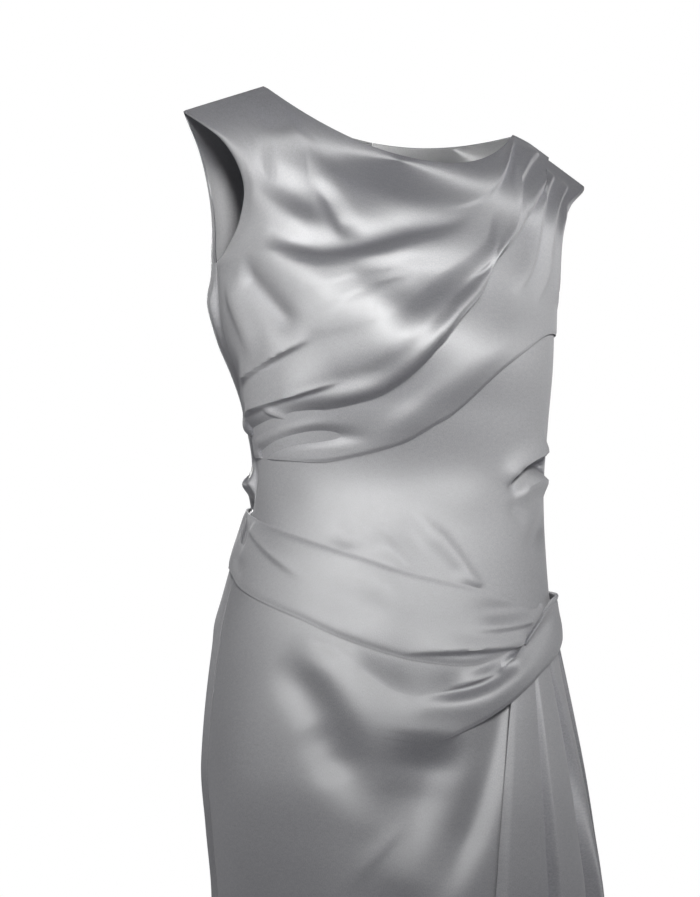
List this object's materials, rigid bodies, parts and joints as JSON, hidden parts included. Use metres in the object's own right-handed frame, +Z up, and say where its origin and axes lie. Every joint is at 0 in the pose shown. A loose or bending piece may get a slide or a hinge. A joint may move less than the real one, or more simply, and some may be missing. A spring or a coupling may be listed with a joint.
{
  "type": "draped pencil dress",
  "caption": "Sleeveless knee-length pencil dress in heavy satin, with a draped bodice, a diagonal band, a hip sash and a pleated cascade at the left hip.",
  "frame": {"origin": "midway between the two neck points, where the wearer's shoulders carry the dress", "axes": "+X to the wearer's left, -Y to the front, +Z up along the body"},
  "size_m": [0.4071, 0.2558, 0.9384],
  "materials": {
    "satin": "heavy silver-grey satin, soft lustre",
    "zip_metal": "grey lacquered metal"
  },
  "bodies": {
    "dress": {"bodice_front": "satin", "drape_band": "satin", "front_drape": "satin", "skirt_front": "satin", "skirt_loop": "satin", "skirt_cascade": "satin", "bodice_back_left": "satin", "bodice_back_right": "satin", "skirt_back_left": "satin", "skirt_back_right": "satin", "sash_front": "satin", "sash_back_left": "satin", "neck_facing_left": "satin", "neck_facing_right": "satin", "zip_slider": "zip_metal"},
    "pull_tab": {"zip_pull_tab": "zip_metal"}
  },
  "joints": [
    {"name": "pull_tab_hinge", "type": "hinge", "parent": "dress", "child": "pull_tab", "pos_m": [-0.00037, 0.06422, -0.01656], "axis": [1, 0, 0], "range_deg": [0, 150]}
  ]
}
